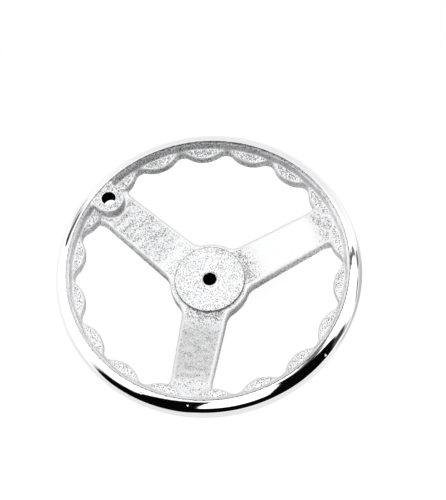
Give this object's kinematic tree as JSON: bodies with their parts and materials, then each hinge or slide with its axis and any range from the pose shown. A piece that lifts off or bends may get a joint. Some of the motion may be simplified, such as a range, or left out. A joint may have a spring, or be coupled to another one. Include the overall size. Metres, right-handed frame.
{
  "type": "machine handwheel",
  "caption": "Dished, spoked cast handwheel with a polished rim, finger ripples inside it, a bored hub and a drilled boss for a crank handle.",
  "frame": {"origin": "centre of the hub's back face, which the wheel stands on", "axes": "+Z along the wheel's axis towards the operator; -Y is the direction of the spoke opposite the middle of the back window"},
  "size_m": [0.16, 0.16, 0.0365],
  "materials": {
    "cast_aluminium": "blasted casting, rim turned and polished"
  },
  "bodies": {
    "root": {"handwheel": "cast_aluminium"}
  },
  "joints": []
}
